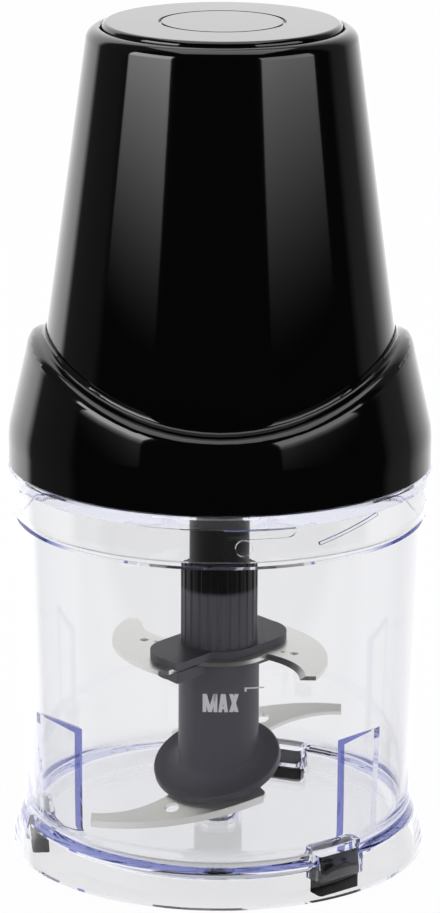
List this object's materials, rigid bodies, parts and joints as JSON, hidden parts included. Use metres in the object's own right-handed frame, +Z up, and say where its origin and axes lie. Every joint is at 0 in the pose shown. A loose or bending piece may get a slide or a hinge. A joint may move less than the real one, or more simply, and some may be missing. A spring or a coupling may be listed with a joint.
{
  "type": "electric food chopper",
  "caption": "Electric food chopper: clear twist-lock bowl and lid, tiered S-blades on a grey hub, and a glossy black conical motor unit with a round press button on top.",
  "frame": {"origin": "on the table under the middle of the bowl", "axes": "+Z up along the blade axis, front of the picture towards -Y, cord inlet towards +Y"},
  "size_m": [0.1206, 0.1206, 0.2398],
  "materials": {
    "clear_plastic": "clear moulded SAN, faint blue in thick edges",
    "black_gloss": "polished black ABS",
    "black_plastic": "moulded black",
    "rubber": "moulded black",
    "hub_grey": "satin dark grey",
    "blade_steel": "ground stainless strip",
    "steel": "turned",
    "zinc_plated": "zinc plated",
    "lamination": "stamped sheet stack",
    "bronze": "sintered",
    "copper": "enamelled wire and bars",
    "ferrite": "sintered ferrite",
    "carbon": "pressed carbon",
    "nylon": "natural",
    "board": "solder mask"
  },
  "bodies": {
    "bowl_base": {"bowl": "clear_plastic", "pivot_pin": "steel", "foot_front": "rubber", "foot_back": "rubber", "foot_left": "rubber"},
    "lid_cover": {"lid": "clear_plastic"},
    "motor_unit": {"motor_housing": "black_gloss", "shoulder_ring": "black_gloss", "housing_base": "black_plastic", "cord_gland": "black_plastic", "base_screws": "zinc_plated", "output_bush": "bronze", "ring_gear": "nylon", "gear_cover": "zinc_plated", "gear_cover_screws": "zinc_plated", "motor_can": "zinc_plated", "motor_end_cap": "black_plastic", "field_magnets": "ferrite", "front_bush": "bronze", "rear_bush": "bronze", "carbon_brushes": "carbon", "motor_screws": "zinc_plated", "switch_bracket": "nylon", "bracket_screws": "zinc_plated", "microswitch": "black_plastic", "control_board": "board", "button_spring": "steel"},
    "start_button": {"press_button": "black_gloss"},
    "rotor": {"motor_shaft": "steel", "armature_core": "lamination", "armature_windings": "copper", "commutator": "copper", "motor_pinion": "bronze"},
    "output_drive": {"planet_carrier": "steel", "planet_pins": "steel", "output_shaft": "steel", "drive_coupling": "black_plastic"},
    "planet_1": {"planet_gear_1": "nylon"},
    "planet_2": {"planet_gear_2": "nylon"},
    "planet_3": {"planet_gear_3": "nylon"},
    "blade_set": {"blade_hub": "hub_grey", "upper_blade": "blade_steel", "lower_blade": "blade_steel"}
  },
  "joints": [
    {"name": "lid_twist", "type": "hinge", "parent": "bowl_base", "child": "lid_cover", "pos_m": [0, 0, 0.1109], "axis": [0, 0, 1], "range_deg": [0, 18]},
    {"name": "motor_lift", "type": "slide", "parent": "lid_cover", "child": "motor_unit", "axis": [0, 0, 1], "range_m": [0, 0.1]},
    {"name": "button_press", "type": "slide", "parent": "motor_unit", "child": "start_button", "axis": [0, 0, -1], "range_m": [0, 0.0035], "stiffness_N_per_m": 400, "springref_m": -0.004, "deforming": ["button_spring"]},
    {"name": "motor_spin", "type": "hinge", "parent": "motor_unit", "child": "rotor", "pos_m": [0, 0, 0.16], "axis": [0, 0, 1], "continuous": true},
    {"name": "output_spin", "type": "hinge", "parent": "motor_unit", "child": "output_drive", "pos_m": [0, 0, 0.121], "axis": [0, 0, 1], "continuous": true},
    {"name": "planet_1_spin", "type": "hinge", "parent": "output_drive", "child": "planet_1", "pos_m": [0.012, 0, 0.127], "axis": [0, 0, 1], "continuous": true},
    {"name": "planet_2_spin", "type": "hinge", "parent": "output_drive", "child": "planet_2", "pos_m": [-0.006, 0.01039, 0.127], "axis": [0, 0, 1], "continuous": true},
    {"name": "planet_3_spin", "type": "hinge", "parent": "output_drive", "child": "planet_3", "pos_m": [-0.006, -0.01039, 0.127], "axis": [0, 0, 1], "continuous": true},
    {"name": "blade_spin", "type": "hinge", "parent": "lid_cover", "child": "blade_set", "pos_m": [0, 0, 0.05], "axis": [0, 0, 1], "continuous": true}
  ],
  "couplings": [
    {"joint": "output_spin", "follows": "motor_spin", "ratio": 0.2},
    {"joint": "planet_1_spin", "follows": "motor_spin", "ratio": -0.53333},
    {"joint": "planet_2_spin", "follows": "motor_spin", "ratio": -0.53333},
    {"joint": "planet_3_spin", "follows": "motor_spin", "ratio": -0.53333},
    {"joint": "blade_spin", "follows": "motor_spin", "ratio": 0.2}
  ]
}
